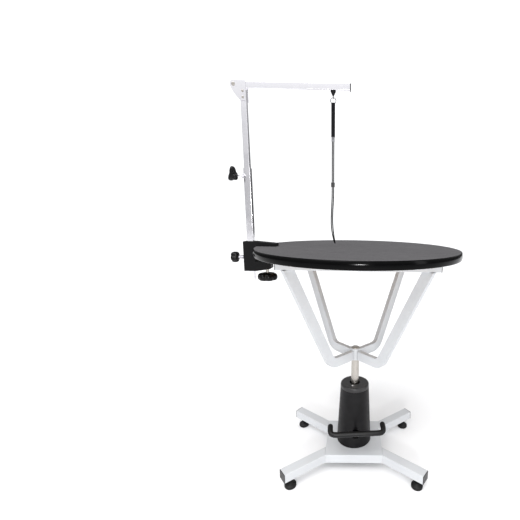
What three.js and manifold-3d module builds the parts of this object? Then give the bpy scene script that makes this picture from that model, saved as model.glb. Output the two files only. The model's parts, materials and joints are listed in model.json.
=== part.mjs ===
// Round hydraulic pet grooming table with a clamp-on arm and a noose.
// Millimetres, +Z up, front towards -Y. The pump column stands at x = 0, y = 0 while the parts
// are made; the finished group is then moved so that its footprint is centred on the origin.
import * as THREE from 'three';
import { mergeVertices } from 'three/addons/utils/BufferGeometryUtils.js';
import Module from 'manifold-3d';

const wasm = await Module();
wasm.setup();

// ---- driving dimensions ----
const GAP = 0.3;                    // clearance between pieces that touch
const TOP_Z = 820;                  // standing surface at the lowest setting
const TOP_RADIUS = 350;
const EDGE_HEIGHT = 25;             // moulded band round the board
const EDGE_WALL = 3.7;
const EDGE_LIP = 12;                // how far the band reaches under the board
const EDGE_LIP_THICK = 1.7;
const ROUND_TOP = 80;               // sides of the round top's polygons
const MAT_THICK = 4.7;

const BASE_TOP = 69.3;              // top of the base plate and legs
const BASE_HEIGHT = 33;
const PLATE_X = 106;                // half sizes of the base plate
const PLATE_Y = 102;
const PLATE_WALL = 4;
const LEG_WIDTH = 38;
const LEG_WALL = 2;
const LEG_ANGLE = 37;               // degrees from the X axis, in plan
const LEG_END = 306;                // distance of a leg's end from the column axis
const FOOT_DIST = 278;
const FOOT_RADIUS = 20.5;
const FOOT_STUD = 5;
const CAP_THICK = 1.5;
const PLUG_DEPTH = 14;              // how far a cap or plug reaches into its tube

const PUMP_FLANGE = 56;
const CYL_OUTER = 30.5;
const CYL_BORE = 24;
const CYL_TOP = 285;
const GLAND_TOP = 296;
const COVER_BOTTOM_R = 66;
const COVER_TOP_R = 54;
const COVER_TOP = 292;
const COVER_WALL = 3;
const LID_TOP = 308;
const LID_HOLE = 19;
const LID_SHOULDER = 7;
const LID_SCREW = [-9, -29];         // plan position of the lid's screw
const ROD_RADIUS = 14.5;
const ROD_TOP = 452;
const PISTON_BOTTOM = 100;
const PISTON_HEIGHT = 40;
const BORE_FLOOR = 94.7;            // bottom of the oil space under the piston

const PEDAL_TURN = 5;               // degrees, the pedal points slightly to the right
const PEDAL_Y = -118;               // the foot bar's centreline
const PEDAL_Z = 170;
const PEDAL_RADIUS = 9.5;
const PEDAL_HALF = 97;              // half width of the pedal at its centreline
const PIVOT_Y = -39;                // the lever's pin
const PIVOT_Z = 118;
const PIN_RADIUS = 4;
const LEVER_WIDTH = 15;
const LEVER_HEIGHT = 14;
const LEVER_REACH = Math.hypot(PIVOT_Y - PEDAL_Y, PEDAL_Z - PIVOT_Z);
const LEVER_RISE = Math.atan2(PEDAL_Z - PIVOT_Z, PIVOT_Y - PEDAL_Y);
const PLUNGER_Y = -49;
const PLUNGER_RADIUS = 6;
const PLUNGER_DOME = 4;
const PLUNGER_TIP = PIVOT_Z + (PIVOT_Y - PLUNGER_Y) * Math.tan(LEVER_RISE) + PLUNGER_DOME
  - (LEVER_HEIGHT / 2 + PLUNGER_DOME + GAP) / Math.cos(LEVER_RISE);
const BARREL_RADIUS = 9.5;
const BARREL_TOP = 92.5;
const BARREL_FLOOR = 79.6;
const SPRING_RADIUS = 7.8;
const SPRING_WIRE = 0.9;

const HUB_RADIUS = 19;
const HUB_BOTTOM = 404;
const HUB_TOP = 449;
const ARM_WIDTH = 17;
const ARM_DEPTH = 34;
const ARM_WALL = 1.5;
const ARM_BOTTOM = 406;
const ARM_CORNER = 131;             // distance of the bend's outer corner from the axis
const ARM_SLOPE = 64;               // degrees from level
const ARM_BEND = 57;                // outer bend radius
const RAIL_SIZE = 25;
const RAIL_WALL = 2;
const RAIL_HALF = 238;

const MAST_X = -368;                // centre of the grooming arm's mast
const MAST_SIZE = 22;
const MAST_BOTTOM = 649;
const MAST_TOP = 1075;
const TUBE_WALL = 1.5;
const TELE_SIZE = 18;
const TELE_BOTTOM = 860;
const CLAMP_LEFT = -391;
const CLAMP_RIGHT = -350.7;
const CLAMP_HALF = 20;
const CLAMP_BOTTOM = 734;
const CLAMP_TOP = 836;
const UPPER_JAW_TIP = -278;
const LOWER_JAW_TIP = -299;
const LOWER_JAW_TOP = 768;
const SCREW_X = -316;
const SCREW_RADIUS = 5.7;
const SCREW_LOW = 715;
const PAD_LOW = 789.3;
const KNOB_LOW = 700;
const LOCK_X = -437;                // outer end of the mast's lock knob
const LOCK_RADIUS = 6;
const POLE_LOCK_Z = 781.5;
const TELE_LOCK_Z = 1049;

const BAR_Z = 1321;                 // centre height of the crossbar
const BAR_SIZE = 20;
const BAR_PIN_X = MAST_X - 28;
const BAR_LEFT = BAR_PIN_X - 9;
const BAR_RIGHT = -33;
const BRACKET_THICK = 2.5;
const RIVET_DROPS = [19, 37];       // rivets below the crossbar's centre

const NOOSE_X = -86;
const RING_RADIUS = 8.7;
const RING_WIRE = 1.3;
const EYE_Z = 1292.5;
const EYE_RADIUS = 3.8;
const STRAP_WIDTH = 12;
const STRAP_BOTTOM = 1175.3;
const CRIMP_BOTTOM = 1161;
const CORD_RADIUS = 1.8;
const STRAND_OFFSET = 2.4;
const SLIDER_BOTTOM = 1020;
const SLIDER_HEIGHT = 14;

const ORIGIN_SHIFT_X = 43.5;        // from the column axis to the middle of the footprint

const rad = THREE.MathUtils.degToRad;

// ---- materials ----
const material = (color, roughness, metalness = 0) => new THREE.MeshStandardMaterial({ color, roughness, metalness });
const whitePaint = material(0xe9ebee, 0.45);
const blackPlastic = material(0x1a1a1c, 0.4);
const blackRubber = material(0x202022, 0.75);
const greyRubber = material(0x6b696a, 0.8);
const chrome = material(0xd8d8e0, 0.12, 1);
const steel = material(0x9a9690, 0.35, 1);
const pumpPaint = material(0x2c2b2e, 0.45);
const castPaint = material(0x262628, 0.5);
const boardWood = material(0x9c7a4e, 0.8);
const webbing = material(0x2a2a2e, 0.85);

// ---- solids ----
// A closed geometry with shared vertices, no collapsed triangles and outward faces.
function weld(geometry) {
  const bare = geometry.clone();
  bare.deleteAttribute('normal');
  bare.deleteAttribute('uv');
  const merged = mergeVertices(bare, 1e-4);
  const index = merged.index.array;
  const position = merged.attributes.position;
  const kept = [];
  const [a, b, c] = [new THREE.Vector3(), new THREE.Vector3(), new THREE.Vector3()];
  let volume = 0;
  for (let i = 0; i < index.length; i += 3) {
    const [p, q, r] = [index[i], index[i + 1], index[i + 2]];
    if (p === q || q === r || r === p) continue;
    kept.push([p, q, r]);
    a.fromBufferAttribute(position, p);
    b.fromBufferAttribute(position, q);
    c.fromBufferAttribute(position, r);
    volume += a.dot(b.cross(c));
  }
  merged.setIndex(kept.flatMap(([p, q, r]) => (volume > 0 ? [p, q, r] : [p, r, q])));
  return merged;
}

function solid(geometry) {
  const welded = weld(geometry);
  const vertProperties = new Float32Array(welded.attributes.position.array);
  const triVerts = new Uint32Array(welded.index.array);
  return new wasm.Manifold(new wasm.Mesh({ numProp: 3, vertProperties, triVerts }));
}

function toGeometry(body) {
  const mesh = body.getMesh();
  const geometry = new THREE.BufferGeometry();
  geometry.setAttribute('position', new THREE.BufferAttribute(new Float32Array(mesh.vertProperties), 3));
  geometry.setIndex(new THREE.BufferAttribute(new Uint32Array(mesh.triVerts), 1));
  return geometry;
}

const union = (first, ...others) => others.reduce((body, next) => body.add(solid(next)), solid(first));
const cut = (body, ...tools) => tools.reduce((rest, tool) => rest.subtract(solid(tool)), body);

// ---- shapes ----
function block(x0, x1, y0, y1, z0, z1) {
  const geometry = new THREE.BoxGeometry(x1 - x0, y1 - y0, z1 - z0);
  return geometry.translate((x0 + x1) / 2, (y0 + y1) / 2, (z0 + z1) / 2);
}

// A round solid about Z from [radius, height] points.
function turned(points, segments) {
  const profile = points.map(([r, z]) => new THREE.Vector2(r, z));
  return new THREE.LatheGeometry(profile, segments).rotateX(Math.PI / 2);
}

// A closed ring profile returns to its first point.
const turnedRing = (points, segments) => turned([...points, points[0]], segments);

function rod(radius, z0, z1, segments = 24) {
  return turned([[0, z0], [radius, z0], [radius, z1], [0, z1]], segments);
}

// A rod along X or Y, centred on the other two coordinates given.
const rodX = (radius, x0, x1, y, z, segments) => rod(radius, x0, x1, segments).rotateY(Math.PI / 2).translate(0, y, z);
const rodY = (radius, y0, y1, x, z, segments) => rod(radius, -y1, -y0, segments).rotateX(Math.PI / 2).translate(x, 0, z);

function outline(points) {
  return new THREE.Shape(points.map(([x, y]) => new THREE.Vector2(x, y)));
}

function roundedRect(width, height, radius) {
  const [w, h] = [width / 2, height / 2];
  const shape = new THREE.Shape();
  shape.moveTo(-w + radius, -h);
  shape.absarc(w - radius, -h + radius, radius, -Math.PI / 2, 0);
  shape.absarc(w - radius, h - radius, radius, 0, Math.PI / 2);
  shape.absarc(-w + radius, h - radius, radius, Math.PI / 2, Math.PI);
  shape.absarc(-w + radius, -h + radius, radius, Math.PI, Math.PI * 1.5);
  return shape;
}

function extrude(shape, depth, curveSegments = 3) {
  return new THREE.ExtrudeGeometry(shape, { depth, bevelEnabled: false, curveSegments });
}

// The shape's plane is XZ and its depth runs from y = -depth / 2 to y = depth / 2.
const slabXZ = (shape, depth, segments) => extrude(shape, depth, segments).rotateX(Math.PI / 2).translate(0, depth / 2, 0);

// The shape's plane is YZ and its depth runs from x = -depth / 2 to x = depth / 2.
function slabYZ(shape, depth, segments) {
  return extrude(shape, depth, segments).rotateX(Math.PI / 2).rotateZ(Math.PI / 2).translate(-depth / 2, 0, 0);
}

// A rectangular tube along +X from x0 to x1, open at both ends.
function tubeX(width, height, wall, radius, x0, x1) {
  const shape = roundedRect(width, height, radius);
  shape.holes.push(roundedRect(width - 2 * wall, height - 2 * wall, Math.max(radius - wall, 0.5)));
  return slabYZ(shape, x1 - x0, 2).translate((x0 + x1) / 2, 0, 0);
}

function squareTubeZ(size, wall, radius, z0, z1) {
  const shape = roundedRect(size, size, radius);
  shape.holes.push(roundedRect(size - 2 * wall, size - 2 * wall, Math.max(radius - wall, 0.5)));
  return extrude(shape, z1 - z0, 2).translate(0, 0, z0);
}

// ---- assembly ----
const table = new THREE.Group();

function add(name, body, look) {
  const geometry = body.isBufferGeometry ? weld(body) : toGeometry(body);
  geometry.computeVertexNormals();
  const mesh = new THREE.Mesh(geometry, look);
  mesh.name = name;
  table.add(mesh);
  return mesh;
}

// [name, angle in plan] of the four corners, the angle made from one acute angle.
function corners(angle) {
  return [
    ['front_left', 180 + angle],
    ['front_right', -angle],
    ['back_left', 180 - angle],
    ['back_right', angle],
  ];
}

function addBasePlate() {
  const low = BASE_TOP - BASE_HEIGHT;
  const inner = PLATE_WALL;
  const outer = solid(block(-PLATE_X, PLATE_X, -PLATE_Y, PLATE_Y, low, BASE_TOP));
  const hollow = block(inner - PLATE_X, PLATE_X - inner, inner - PLATE_Y, PLATE_Y - inner, low - 1, BASE_TOP - inner);
  add('base_plate', cut(outer, hollow), whitePaint);
}

function addLegs() {
  const middle = BASE_TOP - BASE_HEIGHT / 2;
  const low = BASE_TOP - BASE_HEIGHT;
  const plate = block(-PLATE_X - GAP, PLATE_X + GAP, -PLATE_Y - GAP, PLATE_Y + GAP, low - 1, BASE_TOP + 1);
  for (const [name, angle] of corners(LEG_ANGLE)) {
    const tube = tubeX(LEG_WIDTH, BASE_HEIGHT, LEG_WALL, 3, PLATE_Y, LEG_END).translate(0, 0, middle);
    const hole = rod(FOOT_STUD + GAP, low - 1, low + LEG_WALL + 1, 16).translate(FOOT_DIST, 0, 0);
    const leg = cut(solid(tube.rotateZ(rad(angle))), hole.rotateZ(rad(angle)), plate);
    add(`leg_${name}`, leg, whitePaint);

    const face = slabYZ(roundedRect(LEG_WIDTH, BASE_HEIGHT, 3), CAP_THICK, 2);
    face.translate(LEG_END + GAP + CAP_THICK / 2, 0, middle);
    const fit = 2 * (LEG_WALL + GAP);
    const plug = slabYZ(roundedRect(LEG_WIDTH - fit, BASE_HEIGHT - fit, 1), PLUG_DEPTH, 1);
    plug.translate(LEG_END + GAP + CAP_THICK / 2 - PLUG_DEPTH / 2, 0, middle);
    add(`leg_cap_${name}`, union(face.rotateZ(rad(angle)), plug.rotateZ(rad(angle))), blackPlastic);
  }
}

// A levelling foot: rubber-faced disc, cone, lock nut and the stud that screws into the leg.
function addFeet() {
  const legBottom = BASE_TOP - BASE_HEIGHT;
  const profile = [
    [0, 0], [FOOT_RADIUS, 0], [FOOT_RADIUS, 9], [FOOT_RADIUS - 4, 14],
    [8.5, 19], [8.5, legBottom - GAP],
    [FOOT_STUD, legBottom - GAP], [FOOT_STUD, legBottom + 18], [0, legBottom + 18],
  ];
  for (const [name, angle] of corners(LEG_ANGLE)) {
    const foot = turned(profile, 20).translate(FOOT_DIST, 0, 0);
    add(`levelling_foot_${name}`, foot.rotateZ(rad(angle)), blackRubber);
  }
}

// The oil cylinder with its base flange, the pedal's ears and the little pump barrel.
function addCylinder() {
  const low = BASE_TOP + GAP;
  const flange = low + 9;
  const body = turned([
    [0, low], [PUMP_FLANGE, low], [PUMP_FLANGE, flange], [CYL_OUTER, flange], [CYL_OUTER, CYL_TOP],
    [CYL_BORE, CYL_TOP], [CYL_BORE, BORE_FLOOR], [0, BORE_FLOOR],
  ], 24);
  const barrel = rod(BARREL_RADIUS, flange - 1, BARREL_TOP, 20).translate(0, PLUNGER_Y, 0);
  const web = block(-6, 6, PLUNGER_Y, 1 - CYL_OUTER, flange - 1, BARREL_TOP - 2);
  const [earLow, earHigh, earFront, earThick] = [PIVOT_Z - 8, PIVOT_Z + 9, PIVOT_Y - 7, 4.5];
  const inner = LEVER_WIDTH / 2 + 0.5;
  const outer = inner + earThick;
  const leftEar = block(-outer, -inner, earFront, 5 - CYL_OUTER, earLow, earHigh);
  const rightEar = block(inner, outer, earFront, 5 - CYL_OUTER, earLow, earHigh);
  const bore = rod(PLUNGER_RADIUS + GAP, BARREL_FLOOR, BARREL_TOP + 1, 16).translate(0, PLUNGER_Y, 0);
  const pinHole = rodX(PIN_RADIUS + GAP, -20, 20, PIVOT_Y, PIVOT_Z, 16);
  const oilBore = rod(CYL_BORE, BORE_FLOOR, CYL_TOP + 1, 24);
  const cylinder = cut(union(body, barrel, web, leftEar, rightEar), bore, pinHole, oilBore);
  add('pump_cylinder', cylinder, steel).rotation.z = rad(PEDAL_TURN);
}

function addGland() {
  const low = CYL_TOP + GAP;
  const inner = ROD_RADIUS + GAP;
  add('cylinder_gland', turnedRing([
    [inner, low], [CYL_OUTER, low], [CYL_OUTER, GLAND_TOP - 2], [CYL_OUTER - 2, GLAND_TOP], [inner, GLAND_TOP],
  ], 24), steel);
}

// The tapered shroud, with the slot that the pedal lever moves in.
function addCover() {
  const low = BASE_TOP + GAP;
  const wall = COVER_WALL;
  const shell = solid(turnedRing([
    [COVER_BOTTOM_R - wall, low], [COVER_BOTTOM_R, low], [COVER_TOP_R, COVER_TOP], [COVER_TOP_R - wall, COVER_TOP],
  ], 40));
  const half = LEVER_WIDTH / 2 + 2;
  const slot = block(-half, half, -80, -50, PIVOT_Z - 8, PIVOT_Z + 27);
  add('pump_cover', cut(shell, slot.rotateZ(rad(PEDAL_TURN))), pumpPaint);
}

function addLid() {
  const low = COVER_TOP + GAP;
  const points = [[COVER_TOP_R - 4, low], [COVER_TOP_R, low]];
  const steps = 3;
  for (let step = 0; step <= steps; step += 1) {
    const turn = (step / steps) * Math.PI / 2;
    const r = COVER_TOP_R - LID_SHOULDER * (1 - Math.cos(turn));
    points.push([r, LID_TOP - LID_SHOULDER * (1 - Math.sin(turn))]);
  }
  points.push([LID_HOLE, LID_TOP], [LID_HOLE, LID_TOP - 4], [COVER_TOP_R - 12, LID_TOP - 4]);
  const screwHole = rod(2.3, LID_TOP - 10, LID_TOP + 1, 12).translate(...LID_SCREW, 0);
  add('cover_lid', cut(solid(turnedRing(points, 36)), screwHole), pumpPaint);
  const screw = turned([
    [0, LID_TOP - 9], [2, LID_TOP - 9], [2, LID_TOP + GAP], [4, LID_TOP + GAP],
    [3.4, LID_TOP + 2], [0, LID_TOP + 2.8],
  ], 12);
  add('lid_screw', screw.translate(...LID_SCREW, 0), chrome);
}

function addPistonAndRod() {
  const socket = ROD_RADIUS + GAP;
  const floor = PISTON_BOTTOM + 12;
  const top = PISTON_BOTTOM + PISTON_HEIGHT;
  const skirt = CYL_BORE - GAP;
  const groove = skirt - 1.5;
  const middle = PISTON_BOTTOM + PISTON_HEIGHT / 2;
  add('piston', turned([
    [0, PISTON_BOTTOM], [skirt, PISTON_BOTTOM], [skirt, middle - 3], [groove, middle - 3], [groove, middle + 3],
    [skirt, middle + 3], [skirt, top], [socket, top], [socket, floor], [0, floor],
  ], 24), steel);
  const chamfer = 2;
  add('piston_rod', turned([
    [0, floor + GAP], [ROD_RADIUS, floor + GAP], [ROD_RADIUS, ROD_TOP - chamfer], [ROD_RADIUS - chamfer, ROD_TOP],
    [0, ROD_TOP],
  ], 24), steel);
}

// The pump plunger under the lever, with its collar and return spring.
function addPlunger() {
  const collar = PLUNGER_TIP - 5;
  const collarLow = collar - 3;
  const points = [
    [0, BARREL_FLOOR + 5], [PLUNGER_RADIUS, BARREL_FLOOR + 5], [PLUNGER_RADIUS, collarLow],
    [8.2, collarLow], [8.2, collar - 0.5], [PLUNGER_DOME, collar - 0.5],
  ];
  for (let step = 0; step <= 4; step += 1) {
    const turn = (step / 4) * Math.PI / 2;
    points.push([PLUNGER_DOME * Math.cos(turn), PLUNGER_TIP - PLUNGER_DOME * (1 - Math.sin(turn))]);
  }
  const plunger = turned(points, 16).translate(0, PLUNGER_Y, 0);
  add('pump_plunger', plunger, steel).rotation.z = rad(PEDAL_TURN);

  const coils = 3;
  const [low, high] = [BARREL_TOP + GAP + SPRING_WIRE, collarLow - GAP - SPRING_WIRE];
  class Helix extends THREE.Curve {
    getPoint(t, target = new THREE.Vector3()) {
      const turn = t * coils * 2 * Math.PI;
      const x = SPRING_RADIUS * Math.cos(turn);
      return target.set(x, PLUNGER_Y + SPRING_RADIUS * Math.sin(turn), low + (high - low) * t);
    }
  }
  const section = new THREE.Shape().absarc(0, 0, SPRING_WIRE, 0, 2 * Math.PI);
  const spring = new THREE.ExtrudeGeometry(section, {
    steps: coils * 12, curveSegments: 2, extrudePath: new Helix(), bevelEnabled: false,
  });
  add('plunger_spring', spring, steel).rotation.z = rad(PEDAL_TURN);
}

// The pedal's lever rises from its pin to the foot bar.
function addPedal() {
  const half = LEVER_HEIGHT / 2;
  const cupRadius = PEDAL_RADIUS + GAP;
  const lever = new THREE.Shape();
  lever.moveTo(cupRadius - LEVER_REACH, -half);
  lever.lineTo(0, -half);
  lever.absarc(0, 0, half, -Math.PI / 2, Math.PI / 2);
  lever.lineTo(cupRadius - LEVER_REACH, half);
  const bar = slabYZ(lever, LEVER_WIDTH, 6).rotateX(-LEVER_RISE).translate(0, PIVOT_Y, PIVOT_Z);
  const arm = cut(
    solid(bar),
    rodX(PIN_RADIUS + GAP, -20, 20, PIVOT_Y, PIVOT_Z, 16),
    rodX(cupRadius, -20, 20, PEDAL_Y, PEDAL_Z, 24),
  );
  add('pedal_lever', arm, pumpPaint).rotation.z = rad(PEDAL_TURN);

  const pinEnd = LEVER_WIDTH / 2 + 5;
  const pin = rodX(PIN_RADIUS, -pinEnd, pinEnd, PIVOT_Y, PIVOT_Z, 16);
  add('pedal_pin', pin, steel).rotation.z = rad(PEDAL_TURN);

  // A straight middle, then horns that bend back towards the column and a little upwards.
  const path = new THREE.CurvePath();
  const horn = (side) => [
    new THREE.Vector3(side * (PEDAL_HALF - 27), 0, 0),
    new THREE.Vector3(side * PEDAL_HALF, 0, 0),
    new THREE.Vector3(side * PEDAL_HALF, 8, 3),
    new THREE.Vector3(side * (PEDAL_HALF - 2), 30, 13),
  ];
  const [l0, l1, l2, l3] = horn(-1);
  const [r0, r1, r2, r3] = horn(1);
  path.add(new THREE.CubicBezierCurve3(l3, l2, l1, l0));
  path.add(new THREE.LineCurve3(l0, r0));
  path.add(new THREE.CubicBezierCurve3(r0, r1, r2, r3));
  const section = new THREE.Shape().absarc(0, 0, PEDAL_RADIUS, 0, 2 * Math.PI);
  const grip = new THREE.ExtrudeGeometry(section, {
    steps: 22, curveSegments: 5, extrudePath: path, bevelEnabled: false,
  });
  const tips = [l3, r3].map((p) => new THREE.SphereGeometry(PEDAL_RADIUS, 10, 6).translate(p.x, p.y, p.z));
  const sleeve = toGeometry(union(grip, ...tips)).translate(0, PEDAL_Y, PEDAL_Z);
  add('pedal_bar', sleeve, blackRubber).rotation.z = rad(PEDAL_TURN);
}

function addHub() {
  const inner = ROD_RADIUS + GAP;
  const edge = 1.5;
  add('column_hub', turnedRing([
    [inner, HUB_BOTTOM], [HUB_RADIUS - edge, HUB_BOTTOM], [HUB_RADIUS, HUB_BOTTOM + edge],
    [HUB_RADIUS, HUB_TOP - edge], [HUB_RADIUS - edge, HUB_TOP], [inner, HUB_TOP],
  ], 24), whitePaint);
}

// Side view of a bent arm in [distance from axis, height], inset by the wall for its inside.
function armSide(inset, start, endZ) {
  const slope = rad(ARM_SLOPE);
  const toTangent = Math.tan(slope / 2);
  const bottom = ARM_BOTTOM + inset;
  const top = ARM_BOTTOM + ARM_DEPTH - inset;
  const outerR = ARM_BEND - inset;
  const innerR = ARM_BEND - ARM_DEPTH + inset;
  const centreX = ARM_CORNER - ARM_BEND * toTangent;
  const centreZ = ARM_BOTTOM + ARM_BEND;
  const along = (radius) => {
    const x = centreX + radius * Math.sin(slope);
    const z = centreZ - radius * Math.cos(slope);
    return [x + (endZ - z) / Math.tan(slope), endZ];
  };
  const shape = new THREE.Shape();
  shape.moveTo(start, top);
  shape.lineTo(start, bottom);
  shape.absarc(centreX, centreZ, outerR, -Math.PI / 2, slope - Math.PI / 2);
  shape.lineTo(...along(outerR));
  shape.lineTo(...along(innerR));
  shape.absarc(centreX, centreZ, innerR, slope - Math.PI / 2, -Math.PI / 2, true);
  return shape;
}

const railBottom = TOP_Z - EDGE_HEIGHT + EDGE_LIP_THICK - GAP - RAIL_SIZE;

function addArms() {
  const end = railBottom - GAP;
  const start = HUB_RADIUS + GAP;
  for (const [name, angle] of corners(45)) {
    const outside = slabXZ(armSide(0, start, end), ARM_WIDTH, 7);
    const inside = slabXZ(armSide(ARM_WALL, start - 5, end + 5), ARM_WIDTH - 2 * ARM_WALL, 7);
    const arm = cut(solid(outside), inside);
    add(`arm_${name}`, toGeometry(arm).rotateZ(rad(angle)), whitePaint);
  }
}

function addRails() {
  const slope = rad(ARM_SLOPE);
  const middleR = ARM_BEND - ARM_DEPTH / 2;
  const bendX = ARM_CORNER - ARM_BEND * Math.tan(slope / 2) + middleR * Math.sin(slope);
  const bendZ = ARM_BOTTOM + ARM_BEND - middleR * Math.cos(slope);
  const reach = bendX + (railBottom - bendZ) / Math.tan(slope);
  const y = reach * Math.SQRT1_2;
  const z = railBottom + RAIL_SIZE / 2;
  for (const [name, side] of [['front', -1], ['back', 1]]) {
    const rail = tubeX(RAIL_SIZE, RAIL_SIZE, RAIL_WALL, 2.5, -RAIL_HALF, RAIL_HALF);
    add(`top_rail_${name}`, rail.translate(0, side * y, z), whitePaint);
    for (const [end, sign] of [['left', -1], ['right', 1]]) {
      const face = slabYZ(roundedRect(RAIL_SIZE, RAIL_SIZE, 2.5), CAP_THICK, 2);
      const fit = 2 * (RAIL_WALL + GAP);
      const plug = slabYZ(roundedRect(RAIL_SIZE - fit, RAIL_SIZE - fit, 1), PLUG_DEPTH, 1);
      const faceX = RAIL_HALF + GAP + CAP_THICK / 2;
      face.translate(sign * faceX, side * y, z);
      plug.translate(sign * (faceX - PLUG_DEPTH / 2), side * y, z);
      add(`rail_plug_${name}_${end}`, union(face, plug), blackPlastic);
    }
  }
}

function addTop() {
  const boardTop = TOP_Z - MAT_THICK - GAP;
  const edgeLow = TOP_Z - EDGE_HEIGHT;
  const boardLow = edgeLow + EDGE_LIP_THICK + GAP;
  const inside = TOP_RADIUS - EDGE_WALL;
  add('table_board', rod(inside - GAP, boardLow, boardTop, ROUND_TOP), boardWood);
  add('table_mat', rod(inside - GAP, boardTop + GAP, TOP_Z, ROUND_TOP), greyRubber);
  add('edge_band', turnedRing([
    [inside - EDGE_LIP, edgeLow], [TOP_RADIUS, edgeLow], [TOP_RADIUS, TOP_Z - 2],
    [TOP_RADIUS - 1.5, TOP_Z - 0.5], [inside, TOP_Z - 0.5],
    [inside, edgeLow + EDGE_LIP_THICK], [inside - EDGE_LIP, edgeLow + EDGE_LIP_THICK],
  ], ROUND_TOP), blackPlastic);
}

// A moulded knob about Z: a lobed outline with rounded edges on a round neck.
function lobedKnob(lobes, radius, waist, height, neck) {
  const count = lobes * 8;
  const points = [];
  const edge = 3;
  for (let i = 0; i < count; i += 1) {
    const turn = (i / count) * 2 * Math.PI;
    const r = radius - edge - (radius - waist) * (1 - Math.cos(lobes * turn)) / 2;
    points.push([r * Math.cos(turn), r * Math.sin(turn)]);
  }
  const disc = new THREE.ExtrudeGeometry(outline(points), {
    depth: height - 2 * edge, bevelThickness: edge, bevelSize: edge, bevelSegments: 1, curveSegments: 1,
  });
  const hub = rod(waist * 0.62, 1, height + neck, 14);
  return union(disc.translate(0, 0, edge), hub);
}

// The C-shaped clamp: a block that the mast slides in, a tapered top jaw and a lower jaw.
function addClamp() {
  const throatTop = TOP_Z + GAP;
  const lip = 2;
  const side = outline([
    [CLAMP_LEFT, CLAMP_BOTTOM], [CLAMP_RIGHT, CLAMP_BOTTOM], [SCREW_X + 11, CLAMP_BOTTOM + 7],
    [LOWER_JAW_TIP, CLAMP_BOTTOM + 9], [LOWER_JAW_TIP, LOWER_JAW_TOP],
    [CLAMP_RIGHT - lip, LOWER_JAW_TOP], [CLAMP_RIGHT, LOWER_JAW_TOP + lip], [CLAMP_RIGHT, throatTop],
    [UPPER_JAW_TIP, throatTop], [UPPER_JAW_TIP, TOP_Z + 10],
    [CLAMP_RIGHT, CLAMP_TOP], [CLAMP_LEFT + lip, CLAMP_TOP], [CLAMP_LEFT, CLAMP_TOP - lip],
  ]);
  const hole = MAST_SIZE / 2 + GAP;
  const mastWay = block(MAST_X - hole, MAST_X + hole, -hole, hole, CLAMP_BOTTOM - 1, CLAMP_TOP + 1);
  const screwWay = rod(SCREW_RADIUS + GAP, CLAMP_BOTTOM - 1, LOWER_JAW_TOP + 1, 20).translate(SCREW_X, 0, 0);
  const lockWay = rodX(LOCK_RADIUS + GAP, CLAMP_LEFT - 1, MAST_X, 0, POLE_LOCK_Z, 20);
  const body = cut(solid(slabXZ(side, 2 * CLAMP_HALF)), mastWay, screwWay, lockWay);
  add('clamp_body', body, castPaint);

  add('clamp_screw', rod(SCREW_RADIUS, SCREW_LOW, PAD_LOW - GAP, 20).translate(SCREW_X, 0, 0), steel);
  const socket = rod(SCREW_RADIUS + GAP, SCREW_LOW - GAP - KNOB_LOW, 40, 20);
  const knob = cut(lobedKnob(6, 34, 28, 26, 5), socket);
  add('clamp_knob', toGeometry(knob).translate(SCREW_X, 0, KNOB_LOW), blackPlastic);
  const padTop = TOP_Z - EDGE_HEIGHT + EDGE_LIP_THICK;
  const pad = turned([
    [0, PAD_LOW], [10, PAD_LOW], [15, PAD_LOW + 2.7], [15, padTop - 1], [14, padTop], [0, padTop],
  ], 24);
  add('clamp_pad', pad.translate(SCREW_X, 0, 0), blackRubber);

  const studEnd = MAST_X - MAST_SIZE / 2 - GAP - LOCK_X;
  const stud = rod(LOCK_RADIUS, 12, studEnd, 20);
  const lock = toGeometry(lobedKnob(5, 19, 15, 24, 4).add(solid(stud)));
  lock.rotateY(Math.PI / 2).translate(LOCK_X, 0, POLE_LOCK_Z);
  add('mast_lock_knob', lock, blackPlastic);
}

function addMast() {
  const boss = rod(6.5, 0, 18, 14).rotateX(Math.PI / 2);
  const bossAt = boss.rotateZ(-Math.PI / 4).translate(MAST_X, 0, TELE_LOCK_Z);
  const stubWay = rod(4.4, -1, 30, 16).rotateX(Math.PI / 2).rotateZ(-Math.PI / 4);
  stubWay.translate(MAST_X, 0, TELE_LOCK_Z);
  const inner = MAST_SIZE - 2 * TUBE_WALL;
  const core = extrude(roundedRect(inner, inner, 1), MAST_TOP - MAST_BOTTOM + 2, 2);
  core.translate(MAST_X, 0, MAST_BOTTOM - 1);
  const tube = squareTubeZ(MAST_SIZE, TUBE_WALL, 2, MAST_BOTTOM, MAST_TOP).translate(MAST_X, 0, 0);
  add('mast_lower_tube', cut(union(tube, bossAt), core, stubWay), chrome);

  const upper = solid(squareTubeZ(TELE_SIZE, TUBE_WALL, 2, TELE_BOTTOM, BAR_Z - BAR_SIZE / 2 - GAP));
  const placed = toGeometry(upper).translate(MAST_X, 0, 0);
  const rivetWays = RIVET_DROPS.map((drop) => rodY(2.8, -20, 20, MAST_X, BAR_Z - drop, 12));
  add('mast_upper_tube', cut(solid(placed), ...rivetWays), chrome);

  // The three-lobed knob faces out of the mast's front left edge.
  const reach = Math.SQRT2 * (TELE_SIZE / 2) - 0.5;
  const stud = rod(4, 10, 56 - reach, 12);
  const wing = toGeometry(lobedKnob(3, 27, 11, 16, 6).add(solid(stud)));
  wing.rotateZ(-Math.PI / 2).rotateX(-Math.PI / 2).translate(0, -56, 0);
  wing.rotateZ(-Math.PI / 4).translate(MAST_X, 0, TELE_LOCK_Z);
  add('telescope_lock_knob', wing, blackPlastic);
}

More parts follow.
